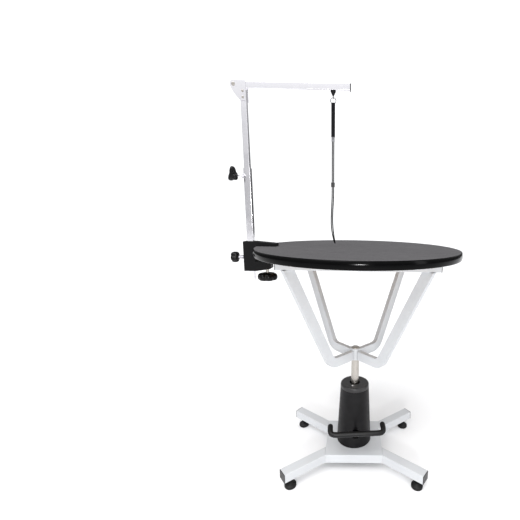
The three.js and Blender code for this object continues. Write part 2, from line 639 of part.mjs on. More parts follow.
function addBracket() {
  const half = TELE_SIZE / 2;
  const [px, pz] = [BAR_PIN_X, BAR_Z];
  const shape = new THREE.Shape();
  shape.moveTo(MAST_X + half + 1, pz + 10.5);
  shape.lineTo(px, pz + 11);
  shape.absarc(px, pz, 11, Math.PI / 2, Math.PI * 1.15);
  shape.quadraticCurveTo(px + 2, pz - 32, MAST_X - half + 2, pz - 46);
  shape.lineTo(MAST_X + half + 1, pz - 46);
  const inner = BAR_SIZE / 2 + GAP;
  const ways = [
    rodY(3.8, -20, 20, BAR_PIN_X, BAR_Z, 16),
    ...RIVET_DROPS.map((drop) => rodY(2.8, -20, 20, MAST_X, BAR_Z - drop, 12)),
  ];
  for (const [name, side] of [['front', -1], ['back', 1]]) {
    const plate = slabXZ(shape, BRACKET_THICK, 5).translate(0, side * (inner + BRACKET_THICK / 2), 0);
    add(`bracket_plate_${name}`, cut(solid(plate), ...ways), chrome);
  }
  const face = inner + BRACKET_THICK + GAP;
  const headed = (shank, head, dome) => turned([
    [0, -face - dome], [head * 0.7, -face - dome], [head, -face], [shank, -face],
    [shank, face], [head, face], [head * 0.7, face + dome], [0, face + dome],
  ], 16).rotateX(Math.PI / 2);
  add('crossbar_pin', headed(3.5, 6, 1.6).translate(BAR_PIN_X, 0, BAR_Z), steel);
  RIVET_DROPS.forEach((drop, i) => {
    add(`bracket_rivet_${i + 1}`, headed(2.5, 4, 1.2).translate(MAST_X, 0, BAR_Z - drop), steel);
  });
}

function addCrossbar() {
  const tube = tubeX(BAR_SIZE, BAR_SIZE, TUBE_WALL, 2, BAR_LEFT, BAR_RIGHT).translate(0, 0, BAR_Z);
  const pinWay = rodY(3.8, -20, 20, BAR_PIN_X, BAR_Z, 16);
  const eyeWay = rod(2.6, BAR_Z - BAR_SIZE, BAR_Z, 16).translate(NOOSE_X, 0, 0);
  add('crossbar', cut(solid(tube), pinWay, eyeWay), chrome);
  const face = slabYZ(roundedRect(BAR_SIZE, BAR_SIZE, 2), 2.5, 2).translate(BAR_RIGHT + GAP + 1.25, 0, BAR_Z);
  const fit = 2 * (TUBE_WALL + GAP);
  const plug = slabYZ(roundedRect(BAR_SIZE - fit, BAR_SIZE - fit, 0.8), PLUG_DEPTH, 1);
  plug.translate(BAR_RIGHT + GAP + 1.25 - PLUG_DEPTH / 2, 0, BAR_Z);
  add('crossbar_end_plug', union(face, plug), blackPlastic);
}

// A conical swivel under the crossbar with an eye, the ring, and the webbing that hangs on it.
function addNooseHanger() {
  const barLow = BAR_Z - BAR_SIZE / 2;
  const floor = barLow + TUBE_WALL + GAP;
  const cone = turned([
    [0, EYE_Z + 3.5], [2, EYE_Z + 3.5], [8.3, barLow - 2.3], [8.3, barLow - GAP], [2.2, barLow - GAP],
    [2.2, floor], [5, floor], [5, floor + 2], [0, floor + 2],
  ], 14);
  const eye = new THREE.TorusGeometry(EYE_RADIUS, RING_WIRE, 6, 14).rotateY(Math.PI / 2);
  const hanger = union(cone, eye.translate(0, 0, EYE_Z));
  add('swivel_hanger', toGeometry(hanger).translate(NOOSE_X, 0, 0), blackPlastic);

  const wireZ = EYE_Z - EYE_RADIUS + 2 * RING_WIRE + GAP;
  const ring = new THREE.TorusGeometry(RING_RADIUS, RING_WIRE, 6, 22).rotateX(Math.PI / 2);
  add('noose_ring', ring.translate(NOOSE_X, 0, wireZ - RING_RADIUS), chrome);

  const low = wireZ - 2 * RING_RADIUS - RING_WIRE - GAP;
  const high = low + 8;
  const [slot, skin] = [RING_WIRE + GAP, 1.3];
  const outer = new THREE.Shape();
  outer.moveTo(-skin, STRAP_BOTTOM);
  outer.lineTo(skin, STRAP_BOTTOM);
  outer.lineTo(skin, low - 10);
  outer.lineTo(slot + skin, low);
  outer.absarc(0, high - slot, slot + skin, 0, Math.PI);
  outer.lineTo(-slot - skin, low);
  outer.lineTo(-skin, low - 10);
  const eyelet = new THREE.Path();
  eyelet.moveTo(slot, low + slot);
  eyelet.absarc(0, high - slot, slot, 0, Math.PI);
  eyelet.absarc(0, low + slot, slot, Math.PI, 2 * Math.PI);
  outer.holes.push(eyelet);
  add('noose_strap', slabYZ(outer, STRAP_WIDTH, 5).translate(NOOSE_X, 0, 0), webbing);
}

// The cord leaves the crimp, runs down beside itself through the slider and loops back.
function addNooseLoop() {
  const crimpTop = STRAP_BOTTOM - GAP;
  const crimp = extrude(roundedRect(10, 6, 2), crimpTop - CRIMP_BOTTOM, 3);
  add('noose_crimp', crimp.translate(NOOSE_X, 0, CRIMP_BOTTOM), steel);

  const start = CRIMP_BOTTOM - GAP;
  const route = [
    [-2.4, 0, start], [-2.4, 0, 1130], [-2.4, 0, 1090], [-2.4, 0, 1050], [-2.4, 0, 1015],
    [-2.6, 1, 985], [-4, 5, 955], [-5.6, 10, 925], [-6, 14, 898], [-3.4, 15, 874], [1.6, 13, 852],
    [6, 7, 837], [9, -2, 834], [9.6, -11, 843], [9, -15, 862], [7.4, -14, 886], [6.4, -11, 912],
    [5, -7, 940], [3.4, -3, 968], [2.6, -0.6, 992], [2.4, 0, 1015], [2.4, 0, 1050], [2.4, 0, 1090],
    [2.4, 0, 1130], [2.4, 0, start],
  ];
  const points = route.map(([x, y, z]) => new THREE.Vector3(NOOSE_X + x, y, z));
  const curve = new THREE.CatmullRomCurve3(points, false, 'centripetal');
  const section = new THREE.Shape().absarc(0, 0, CORD_RADIUS, 0, 2 * Math.PI);
  const cord = new THREE.ExtrudeGeometry(section, {
    steps: 66, curveSegments: 4, extrudePath: curve, bevelEnabled: false,
  });
  add('noose_cord', cord, webbing);

  const slider = roundedRect(12, 7.5, 2);
  const way = STRAND_OFFSET + CORD_RADIUS + GAP;
  const hole = roundedRect(2 * way, 2 * (CORD_RADIUS + GAP), 1);
  slider.holes.push(hole);
  add('noose_slider', extrude(slider, SLIDER_HEIGHT, 3).translate(NOOSE_X, 0, SLIDER_BOTTOM), blackPlastic);
}

addBasePlate();
addLegs();
addFeet();
addCylinder();
addGland();
addCover();
addLid();
addPistonAndRod();
addPlunger();
addPedal();
addHub();
addArms();
addRails();
addTop();
addClamp();
addMast();
addBracket();
addCrossbar();
addNooseHanger();
addNooseLoop();

table.position.x = ORIGIN_SHIFT_X;
export default table;
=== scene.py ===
import json
import math

import bmesh
import bpy
from mathutils import Matrix, Vector


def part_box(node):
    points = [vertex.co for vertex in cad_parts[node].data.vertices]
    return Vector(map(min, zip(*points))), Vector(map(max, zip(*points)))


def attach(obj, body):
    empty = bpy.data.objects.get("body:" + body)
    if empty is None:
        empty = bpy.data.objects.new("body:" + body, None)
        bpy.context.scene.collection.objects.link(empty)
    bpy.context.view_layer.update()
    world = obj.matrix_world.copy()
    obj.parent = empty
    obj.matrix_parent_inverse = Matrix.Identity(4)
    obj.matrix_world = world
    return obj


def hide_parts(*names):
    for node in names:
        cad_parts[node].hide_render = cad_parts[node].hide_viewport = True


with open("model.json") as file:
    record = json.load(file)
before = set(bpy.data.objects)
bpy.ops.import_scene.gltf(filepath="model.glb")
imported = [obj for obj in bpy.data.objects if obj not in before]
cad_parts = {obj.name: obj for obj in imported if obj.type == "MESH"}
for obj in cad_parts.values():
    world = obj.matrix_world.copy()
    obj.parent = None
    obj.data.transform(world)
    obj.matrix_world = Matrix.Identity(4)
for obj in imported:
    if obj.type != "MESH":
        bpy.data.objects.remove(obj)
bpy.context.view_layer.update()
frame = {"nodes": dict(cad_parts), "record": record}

# Lengths are in metres unless a comment says otherwise.
BODIES = frame["record"]["behaviour"]["bodies"]
BODY_OF = {node: body for body, nodes in BODIES.items() for node in nodes}
SLOT_OF = {row["node"]: row["material_slot"] for row in frame["record"]["subparts"]}
CORNERS = ("front_left", "front_right", "back_left", "back_right")
COLUMN_X = 0.0435                     # the pump column's distance from the frame's origin

bpy.context.scene.view_settings.view_transform = "Standard"
bpy.context.scene.view_settings.look = "Medium High Contrast"


# ---- camera ----
# It stands a little above the table top and looks slightly down, close enough for a wide lens.
CAMERA_PLACE = (0.0207, -1.1216, 0.9247)
CAMERA_YAW = 0.6                      # degrees, as are the next two
CAMERA_PITCH = 12.2
CAMERA_ROLL = 1.0
SENSOR_WIDTH = 36                     # millimetres, as is the lens
LENS = 22.24
LENS_SHIFT = (-0.180, 0.050)          # puts the table to the right of the picture's middle
NEAREST_SEEN = 0.01


def add_camera():
    data = bpy.data.cameras.new("camera")
    data.sensor_width = SENSOR_WIDTH
    data.lens = LENS
    data.shift_x, data.shift_y = LENS_SHIFT
    data.clip_start = NEAREST_SEEN
    camera = bpy.data.objects.new("camera", data)
    bpy.context.scene.collection.objects.link(camera)
    turn = Matrix.Rotation(math.radians(-CAMERA_YAW), 4, "Z")
    turn = turn @ Matrix.Rotation(math.radians(90 - CAMERA_PITCH), 4, "X")
    turn = turn @ Matrix.Rotation(math.radians(CAMERA_ROLL), 4, "Z")
    camera.matrix_world = Matrix.Translation(CAMERA_PLACE) @ turn
    bpy.context.scene.camera = camera


# ---- materials ----
TEXTURE_RANGE = (0.3, 0.7)            # where most of a noise texture's values lie


def map_range(tree, source, limits, interpolation="LINEAR"):
    """Maps source from start..end to low..high; limits holds those four."""
    node = tree.nodes.new("ShaderNodeMapRange")
    node.interpolation_type = interpolation
    for name, value in zip(("From Min", "From Max", "To Min", "To Max"), limits):
        node.inputs[name].default_value = value
    tree.links.new(source, node.inputs["Value"])
    return node.outputs["Result"]


class Finish:
    """A Principled material whose colour, roughness and bump come from procedural nodes."""

    def __init__(self, name, color, roughness, metallic=0.0):
        self.material = bpy.data.materials.new(name)
        self.material.use_nodes = True
        self.tree = self.material.node_tree
        self.nodes = self.tree.nodes
        self.links = self.tree.links
        self.shader = self.nodes["Principled BSDF"]
        self.shader.inputs["Metallic"].default_value = metallic
        self.shader.inputs["Roughness"].default_value = roughness
        self.shader.inputs["Base Color"].default_value = (*color, 1)
        self.color = color
        self.place = self.nodes.new("ShaderNodeTexCoord").outputs["Object"]
        self.height = None

    def new(self, kind, **values):
        node = self.nodes.new("ShaderNode" + kind)
        for name, value in values.items():
            setattr(node, name, value)
        return node

    def stretched(self, scale):
        """Object coordinates scaled along each axis."""
        mapping = self.new("Mapping")
        mapping.inputs["Scale"].default_value = scale
        self.links.new(self.place, mapping.inputs["Vector"])
        return mapping.outputs["Vector"]

    def noise(self, scale, detail, stretch=None):
        node = self.new("TexNoise")
        node.inputs["Scale"].default_value = scale
        node.inputs["Detail"].default_value = detail
        self.links.new(self.stretched(stretch) if stretch else self.place, node.inputs["Vector"])
        return node.outputs["Fac"]

    def cells(self, scale):
        node = self.new("TexVoronoi", feature="SMOOTH_F1")
        node.inputs["Scale"].default_value = scale
        self.links.new(self.place, node.inputs["Vector"])
        return node.outputs["Distance"]

    def wave(self, scale, direction, distortion=0.0):
        node = self.new("TexWave", bands_direction=direction)
        node.inputs["Scale"].default_value = scale
        node.inputs["Distortion"].default_value = distortion
        self.links.new(self.place, node.inputs["Vector"])
        return node.outputs["Fac"]

    def math(self, operation, a, b):
        node = self.new("Math", operation=operation)
        for socket, value in zip(node.inputs, (a, b)):
            if isinstance(value, (int, float)):
                socket.default_value = value
            else:
                self.links.new(value, socket)
        return node.outputs["Value"]

    def rough(self, source, low, high):
        """Lets the roughness follow the texture between low and high."""
        varied = map_range(self.tree, source, (*TEXTURE_RANGE, low, high))
        self.links.new(varied, self.shader.inputs["Roughness"])
        return self

    def tint(self, source, color, start, end):
        """Mixes color in where the texture rises from start to end."""
        mix = self.new("Mix", data_type="RGBA")
        current = self.shader.inputs["Base Color"]
        if current.links:
            self.links.new(current.links[0].from_socket, mix.inputs["A"])
        else:
            mix.inputs["A"].default_value = (*self.color, 1)
        mix.inputs["B"].default_value = (*color, 1)
        self.links.new(map_range(self.tree, source, (start, end, 0, 1)), mix.inputs["Factor"])
        self.links.new(mix.outputs["Result"], current)
        return self

    def bump(self, source, depth):
        """Adds relief of that depth in metres; later calls lie on top of earlier ones."""
        node = self.new("Bump")
        node.inputs["Strength"].default_value = 1.0
        node.inputs["Distance"].default_value = depth
        self.links.new(source, node.inputs["Height"])
        if self.height is not None:
            self.links.new(self.height, node.inputs["Normal"])
        self.height = node.outputs["Normal"]
        self.links.new(self.height, self.shader.inputs["Normal"])
        return self

    def setting(self, name, value):
        self.shader.inputs[name].default_value = value
        return self


def white_paint():
    """Powder coat with fine orange peel."""
    finish = Finish("white_paint", (0.55, 0.562, 0.578), 0.4)
    finish.tint(finish.noise(7, 4), (0.50, 0.512, 0.53), 0.5, 0.85)
    finish.rough(finish.noise(60, 3), 0.34, 0.46)
    finish.bump(finish.noise(420, 2), 0.00004)
    finish.bump(finish.noise(1500, 2), 0.000015)
    return finish.setting("Coat Weight", 0.12).setting("Coat Roughness", 0.25).material


def black_plastic():
    finish = Finish("black_plastic", (0.0045, 0.0045, 0.005), 0.26)
    finish.tint(finish.noise(40, 4), (0.012, 0.012, 0.0125), 0.45, 0.75)
    finish.rough(finish.noise(120, 4), 0.2, 0.34)
    finish.bump(finish.noise(2200, 2), 0.00002)
    return finish.setting("Specular IOR Level", 0.28).material


def edge_vinyl():
    finish = Finish("edge_vinyl", (0.0012, 0.0012, 0.0014), 0.16)
    finish.tint(finish.noise(18, 4), (0.0025, 0.0025, 0.0027), 0.45, 0.8)
    finish.rough(finish.noise(90, 4, (1, 1, 6)), 0.12, 0.2)
    finish.bump(finish.noise(900, 2, (1, 1, 0.4)), 0.000006)
    return finish.setting("Specular IOR Level", 0.14).material


def black_rubber():
    finish = Finish("black_rubber", (0.009, 0.009, 0.0095), 0.62)
    finish.tint(finish.noise(55, 4), (0.018, 0.0175, 0.017), 0.45, 0.8)
    finish.rough(finish.noise(150, 3), 0.45, 0.66)
    finish.bump(finish.noise(1400, 3), 0.00004)
    return finish.setting("Specular IOR Level", 0.35).material


def pedal_rubber():
    finish = Finish("pedal_rubber", (0.008, 0.008, 0.0085), 0.36)
    finish.tint(finish.noise(45, 4), (0.015, 0.0147, 0.0147), 0.5, 0.8)
    finish.rough(finish.noise(110, 4), 0.3, 0.46)
    finish.bump(finish.noise(1000, 3), 0.00003)
    return finish.setting("Specular IOR Level", 0.36).material


def grey_mat():
    """Anti-slip matting: small close pebbles, slightly scuffed."""
    finish = Finish("grey_mat", (0.118, 0.115, 0.119), 0.8)
    pebbles = finish.cells(520)
    finish.tint(finish.noise(5, 5), (0.133, 0.129, 0.133), 0.4, 0.75)
    # Painted shade: the mat is darker in the hollows between the pebbles, where the bump below
    # sinks.
    finish.tint(pebbles, (0.075, 0.073, 0.076), 0.35, 0.7)
    finish.rough(finish.noise(30, 4), 0.7, 0.86)
    finish.bump(finish.math("MULTIPLY", pebbles, -1), 0.0003)
    finish.bump(finish.noise(2400, 2), 0.00005)
    return finish.setting("Specular IOR Level", 0.25).material


def board_wood():
    finish = Finish("board_wood", (0.34, 0.22, 0.12), 0.8)
    finish.tint(finish.noise(60, 6, (1, 6, 6)), (0.22, 0.14, 0.075), 0.4, 0.65)
    return finish.bump(finish.noise(900, 4), 0.0001).material


def chrome():
    finish = Finish("chrome", (0.86, 0.85, 0.88), 0.14, 1.0)
    finish.tint(finish.noise(22, 5), (0.79, 0.785, 0.82), 0.5, 0.8)
    finish.rough(finish.noise(38, 4), 0.13, 0.2)
    return finish.bump(finish.noise(90, 2, (1, 1, 0.12)), 0.0000015).material


def fitting_steel():
    """Small turned and bent fittings: duller than the chrome tubes, dark where they're worn."""
    finish = Finish("fitting_steel", (0.27, 0.27, 0.285), 0.24, 1.0)
    finish.tint(finish.noise(300, 4), (0.12, 0.12, 0.125), 0.45, 0.7)
    finish.rough(finish.noise(500, 3), 0.16, 0.34)
    return finish.bump(finish.noise(900, 2), 0.00001).material


def brushed_steel():
    finish = Finish("brushed_steel", (0.54, 0.52, 0.49), 0.26, 1.0)
    lines = finish.noise(2600, 2, (1, 1, 0.02))
    finish.tint(lines, (0.34, 0.31, 0.28), 0.4, 0.7)
    finish.rough(lines, 0.2, 0.36)
    return finish.bump(finish.noise(1500, 2, (0.04, 0.04, 1)), 0.00002).material


def pump_paint():
    """Dark satin paint, lightly dusty."""
    finish = Finish("pump_paint", (0.009, 0.0086, 0.0094), 0.42)
    finish.tint(finish.noise(16, 5), (0.019, 0.018, 0.019), 0.4, 0.8)
    finish.rough(finish.noise(70, 4), 0.36, 0.5)
    finish.bump(finish.noise(260, 2), 0.00004)
    finish.bump(finish.noise(1100, 2), 0.00002)
    return finish.setting("Specular IOR Level", 0.26).material


# A lighter copy of the pump's paint for the lid: painted light, as the lid lies in the table top's
# shadow.
def lid_lit_pump_paint():
    finish = Finish("lid_lit_pump_paint", (0.03, 0.029, 0.03), 0.36)
    finish.tint(finish.noise(30, 4), (0.042, 0.041, 0.042), 0.45, 0.75)
    finish.rough(finish.noise(110, 4), 0.28, 0.42)
    return finish.bump(finish.noise(900, 2), 0.00002).material


def clamp_paint():
    """Black crackle paint over a casting."""
    finish = Finish("clamp_paint", (0.0045, 0.0045, 0.005), 0.45)
    grain = finish.noise(900, 3)
    finish.tint(grain, (0.016, 0.016, 0.017), 0.5, 0.75)
    finish.rough(finish.noise(300, 3), 0.38, 0.58)
    finish.bump(grain, 0.00015)
    return finish.setting("Specular IOR Level", 0.2).material


def webbing():
    """Ribbed nylon: fine cross ribs with a finer twist in each."""
    finish = Finish("webbing", (0.005, 0.005, 0.0065), 0.8)
    ribs = finish.wave(115, "Z")
    strands = finish.wave(300, "X", 1.0)
    # Painted sheen and shade: the rib crests are lighter and the grooves between them darker.
    finish.tint(ribs, (0.024, 0.024, 0.027), 0.3, 0.9)
    finish.bump(ribs, 0.0004).bump(strands, 0.00012)
    return finish.setting("Sheen Weight", 0.04).setting("Specular IOR Level", 0.12).material


def braided_cord():
    """Round braid: slanting strands crossed by level ones."""
    finish = Finish("braided_cord", (0.004, 0.004, 0.005), 0.75)
    strands = finish.math("MULTIPLY", finish.wave(260, "DIAGONAL", 0.6), finish.wave(330, "Z", 0.8))
    # Painted sheen and shade: the raised strands are lighter and the crevices between them darker.
    finish.tint(strands, (0.02, 0.02, 0.022), 0.2, 0.8)
    finish.bump(strands, 0.0003)
    return finish.setting("Sheen Weight", 0.03).setting("Specular IOR Level", 0.12).material


def floor_paper():
    finish = Finish("floor_paper", (0.86, 0.86, 0.865), 0.9)
    return finish.tint(finish.noise(3, 2), (0.84, 0.84, 0.845), 0.4, 0.9).material


FINISHES = {make.__name__: make() for make in (
    white_paint, black_plastic, edge_vinyl, black_rubber, pedal_rubber, grey_mat, board_wood,
    chrome, fitting_steel, brushed_steel, pump_paint, lid_lit_pump_paint, clamp_paint, webbing,
    braided_cord, floor_paper,
)}
SLOT_FINISH = {slot: FINISHES[slot] for slot in (
    "white_paint", "black_plastic", "black_rubber", "grey_mat", "board_wood", "chrome",
    "pump_paint", "clamp_paint", "webbing",
)}
SLOT_FINISH["steel"] = FINISHES["brushed_steel"]


# ---- mesh tools ----
SMOOTH_UNDER = math.radians(35)       # edges sharper than this are drawn sharp
ROUNDED_OVER = math.radians(30)       # edges sharper than this are rounded
FLAT_WITHIN = math.radians(1.5)       # faces within this of each other are one face
FLAT_FACE_WEIGHT = 100
SAME_POINT = 1e-5
ON_AXIS = 1e-6
TURNED_SIDES = 48
STUD_SIDES = 24
DOME_STEPS = 6                        # rings in a bar's domed end


def stands_for(obj, *nodes, finish=None):
    """obj takes the place, body and finish of these CAD nodes; the finish is their slot's unless
    one is named.
    """
    slot = SLOT_OF[nodes[0]]
    obj.data.materials.clear()
    obj.data.materials.append(FINISHES[finish] if finish else SLOT_FINISH[slot])
    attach(obj, BODY_OF[nodes[0]])
    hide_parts(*nodes)
    return obj


def detail(obj, like, finish):
    """obj is a small extra piece on the body of the CAD node it is like."""
    obj.data.materials.clear()
    obj.data.materials.append(FINISHES[finish])
    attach(obj, BODY_OF[like])
    return obj


def mesh_object(name, bm):
    """An object from a bmesh, smooth except at its sharp edges."""
    bmesh.ops.recalc_face_normals(bm, faces=bm.faces)
    for face in bm.faces:
        face.smooth = True
    for edge in bm.edges:
        edge.smooth = not (edge.is_manifold and edge.calc_face_angle(0) > SMOOTH_UNDER)
    mesh = bpy.data.meshes.new(name)
    bm.to_mesh(mesh)
    bm.free()
    obj = bpy.data.objects.new(name, mesh)
    bpy.context.scene.collection.objects.link(obj)
    return obj


def softened(node, radius, segments=2, finish=None):
    """The node's own solid with its flat faces joined and its sharp edges rounded."""
    bm = bmesh.new()
    bm.from_mesh(frame["nodes"][node].data)
    bmesh.ops.remove_doubles(bm, verts=bm.verts, dist=SAME_POINT)
    bmesh.ops.dissolve_limit(bm, angle_limit=FLAT_WITHIN, verts=bm.verts, edges=bm.edges)
    sharp = [e for e in bm.edges if e.is_manifold and e.calc_face_angle(0) > ROUNDED_OVER]
    bmesh.ops.bevel(
        bm, geom=sharp, offset=radius, offset_type="OFFSET", segments=segments, profile=0.5,
        affect="EDGES", clamp_overlap=True,
    )
    obj = mesh_object("soft_" + node, bm)
    # The flat faces keep their own normals, so only the rounded edges bend the light.
    normals = obj.modifiers.new("normals", "WEIGHTED_NORMAL")
    normals.mode = "FACE_AREA"
    normals.weight = FLAT_FACE_WEIGHT
    normals.keep_sharp = True
    return stands_for(obj, node, finish=finish)


def lathe(profile, segments, centre=(0, 0, 0), closed=False):
    """A bmesh turned about Z from (radius, height) points, on the axis or closed on itself."""
    bm = bmesh.new()
    rings = []
    for radius, height in profile:
        if radius < ON_AXIS:
            rings.append([bm.verts.new((0, 0, height))])
            continue
        ring = []
        for i in range(segments):
            turn = 2 * math.pi * i / segments
            ring.append(bm.verts.new((radius * math.cos(turn), radius * math.sin(turn), height)))
        rings.append(ring)
    pairs = list(zip(rings, rings[1:] + ([rings[0]] if closed else [])))
    for low, high in pairs:
        if len(low) == 1 and len(high) == 1:
            continue
        for i in range(segments):
            j = (i + 1) % segments
            if len(low) == 1:
                bm.faces.new((low[0], high[j], high[i]))
            elif len(high) == 1:
                bm.faces.new((low[i], low[j], high[0]))
            else:
                bm.faces.new((low[i], low[j], high[j], high[i]))
    bmesh.ops.translate(bm, verts=bm.verts, vec=centre)
    return bm


def corner(radius, x, z, start, end, steps=5):
    """Points of a rounded profile corner about (x, z), angles in degrees."""
    points = []
    for i in range(steps + 1):
        turn = math.radians(start + (end - start) * i / steps)
        points.append((x + radius * math.cos(turn), z + radius * math.sin(turn)))
    return points


def middle(node):
    low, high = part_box(node)
    return (low + high) / 2


def sweep(name, points, radius, sides, ends=True):
    """A round bar along points, its ends domed or flat."""
    path = [Vector(p) for p in points]
    bm = bmesh.new()
    rings = []
    side = None

    def ring_at(place, direction, size):
        nonlocal side
        direction = direction.normalized()
        if side is None:
            side = direction.orthogonal().normalized()
        side = (side - direction * side.dot(direction)).normalized()
        other = direction.cross(side)
        ring = []
        for i in range(sides):
            turn = 2 * math.pi * i / sides
            out = math.cos(turn) * side + math.sin(turn) * other
            ring.append(bm.verts.new(place + size * out))
        return ring

    steps = DOME_STEPS if ends else 0
    first = (path[1] - path[0]).normalized()
    last = (path[-1] - path[-2]).normalized()
    for i in range(1, steps):
        turn = math.pi / 2 * i / steps
        tip = path[0] - first * radius * math.cos(turn)
        rings.append(ring_at(tip, first, radius * math.sin(turn)))
    for i, place in enumerate(path):
        ahead = path[min(i + 1, len(path) - 1)] - path[max(i - 1, 0)]
        rings.append(ring_at(place, ahead, radius))
    for i in range(1, steps):
        turn = math.pi / 2 * i / steps
        tip = path[-1] + last * radius * math.sin(turn)
        rings.append(ring_at(tip, last, radius * math.cos(turn)))
    for low, high in zip(rings, rings[1:]):
        for i in range(sides):
            j = (i + 1) % sides
            bm.faces.new((low[i], low[j], high[j], high[i]))
    bm.faces.new(list(reversed(rings[0])))
    bm.faces.new(rings[-1])
    return mesh_object(name, bm)


# ---- noose ----
NOOSE_X = COLUMN_X - 0.086
CORD_THICK = 0.0036
CORD_SIDES = 12
SPAN_STEPS = 8                        # steps from each point of the cord's route to the next
SHORTEST_SPAN = 1e-6
RING_SIDES = (48, 12)                 # round the ring, and round its wire
RING_RADIUS = 0.0087
RING_WIRE = 0.0013                    # radius of the ring's wire
RING_SLACK = 0.00025                  # the drawn wire is thinner, to clear the hanger in a swing
WEB_THICK = 0.0013                    # half the doubled webbing's thickness
WEB_JOIN = 0.0115                     # from the ring's wire down to where the webbing is sewn
WEB_SHOULDER = 0.004                  # from the ring's wire down to where the webbing spreads
WEB_WRAP = 0.0018                     # from the wire's face out to the webbing's outer face
WEB_PLY = 0.0013                      # thickness of one ply round the ring
WEB_TAPER = 0.0004                    # how much narrower the fold is at the shoulder
EYE_HALF = 0.0013                     # half the width of the opening at the shoulder
EYE_FOOT = 0.0008                     # from the sewn join up to the opening
SELVEDGE = 0.0006
SELVEDGE_SHARE = 0.72                 # a selvedge's thickness beside the middle's
STITCH_ROWS = 4
STITCHES = 7
STITCH_PITCH = 0.0014
STITCH_ROW_PITCH = 0.0016
STITCH_START = 0.002                  # from the sewn join down to the first row
STITCH_RADIUS = 0.0004
STITCH_SHAPE = (1.5, 0.6, 0.8)
# The cord leaves the crimp, runs down beside itself through the slider and loops back.
# Millimetres, with x counted from the noose's middle.
CORD_ROUTE = [
    (-2.4, 0, 1160.7), (-2.4, 0, 1130), (-2.4, 0, 1090), (-2.4, 0, 1050), (-2.4, 0, 1015),
    (-2.8, 1, 985), (-4.2, 5, 955), (-5.8, 10, 925), (-6, 14, 898), (-3.8, 15, 874),
    (0.6, 13, 852), (5, 7, 837.5), (8, -2, 834), (7.4, -11, 842), (4.6, -15, 860),
    (1.4, -14, 886), (-0.2, -11, 912), (0.2, -7, 940), (1.4, -3, 968), (2.2, -0.6, 992),
    (2.4, 0, 1015), (2.4, 0, 1050), (2.4, 0, 1090), (2.4, 0, 1130), (2.4, 0, 1160.7),
]


def smooth_route(points):
    """A centripetal Catmull-Rom curve through the points."""
    points = [Vector(p) for p in points]
    padded = [2 * points[0] - points[1], *points, 2 * points[-1] - points[-2]]
    route = []
    for a, b, c, d in zip(padded, padded[1:], padded[2:], padded[3:]):
        knots = [0.0]
        for p, q in ((a, b), (b, c), (c, d)):
            knots.append(knots[-1] + max((q - p).length, SHORTEST_SPAN) ** 0.5)
        t0, t1, t2, t3 = knots
        for i in range(SPAN_STEPS):
            t = t1 + (t2 - t1) * i / SPAN_STEPS
            ab = ((t1 - t) * a + (t - t0) * b) / (t1 - t0)
            bc = ((t2 - t) * b + (t - t1) * c) / (t2 - t1)
            cd = ((t3 - t) * c + (t - t2) * d) / (t3 - t2)
            abc = ((t2 - t) * ab + (t - t0) * bc) / (t2 - t0)
            bcd = ((t3 - t) * bc + (t - t1) * cd) / (t3 - t1)
            route.append(((t2 - t) * abc + (t - t1) * bcd) / (t2 - t1))
    route.append(points[-1])
    return route


def add_noose_cord():
    route = smooth_route([(NOOSE_X + x / 1000, y / 1000, z / 1000) for x, y, z in CORD_ROUTE])
    cord = sweep("noose_braid", route, CORD_THICK / 2, CORD_SIDES, ends=False)
    stands_for(cord, "noose_cord", finish="braided_cord")
    return cord, route


def add_noose_strap():
    """Flat webbing folded over the ring and sewn to itself, with thinner selvedges."""
    low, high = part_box("noose_strap")
    half = (high.x - low.x) / 2
    wire_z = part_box("noose_ring")[0].z + RING_WIRE
    join = wire_z - WEB_JOIN
    shoulder = wire_z - WEB_SHOULDER
    around = RING_WIRE + WEB_WRAP
    profile = [(WEB_THICK, low.z), (WEB_THICK, join), (around - WEB_TAPER, shoulder)]
    profile += corner(around, 0, wire_z, 0, 180, 10)
    profile += [(WEB_TAPER - around, shoulder), (-WEB_THICK, join), (-WEB_THICK, low.z)]
    opening = corner(around - WEB_PLY, 0, wire_z, 0, 180, 10)
    opening += [(-EYE_HALF, shoulder), (0, join + EYE_FOOT), (EYE_HALF, shoulder)]
    bm = bmesh.new()
    loops = []
    for x in (-half, SELVEDGE - half, half - SELVEDGE, half):
        thin = SELVEDGE_SHARE if abs(x) == half else 1.0
        outside = [bm.verts.new((NOOSE_X + x, y * thin, z)) for y, z in profile]
        inside = [bm.verts.new((NOOSE_X + x, y, z)) for y, z in opening]
        loops.append((outside, inside))
    for first, second in zip(loops, loops[1:]):
        for a, b in zip(first, second):
            for i in range(len(a)):
                j = (i + 1) % len(a)
                bm.faces.new((a[i], a[j], b[j], b[i]))
    for rings in (loops[0], loops[-1]):
        edges = [bm.edges.get((ring[i - 1], ring[i])) for ring in rings for i in range(len(ring))]
        bmesh.ops.triangle_fill(bm, use_beauty=True, use_dissolve=False, edges=edges)
    strap = stands_for(mesh_object("noose_webbing", bm), "noose_strap")
    route = [Vector((NOOSE_X, 0, shoulder)), Vector((NOOSE_X, 0, low.z))]
    return strap, route, 2 * half, join


def add_stitching(top):
    """Bar tacks that close the webbing's fold, on both faces."""
    bm = bmesh.new()
    for row in range(STITCH_ROWS):
        z = top - STITCH_START - row * STITCH_ROW_PITCH
        for i in range(STITCHES):
            x = NOOSE_X + (i - STITCHES // 2) * STITCH_PITCH
            for side in (-1, 1):
                made = bmesh.ops.create_uvsphere(
                    bm, u_segments=6, v_segments=4, radius=STITCH_RADIUS,
                )
                bmesh.ops.scale(bm, verts=made["verts"], vec=STITCH_SHAPE)
                bmesh.ops.translate(bm, verts=made["verts"], vec=(x, side * WEB_THICK, z))
    return detail(mesh_object("strap_stitches", bm), "noose_strap", "braided_cord")


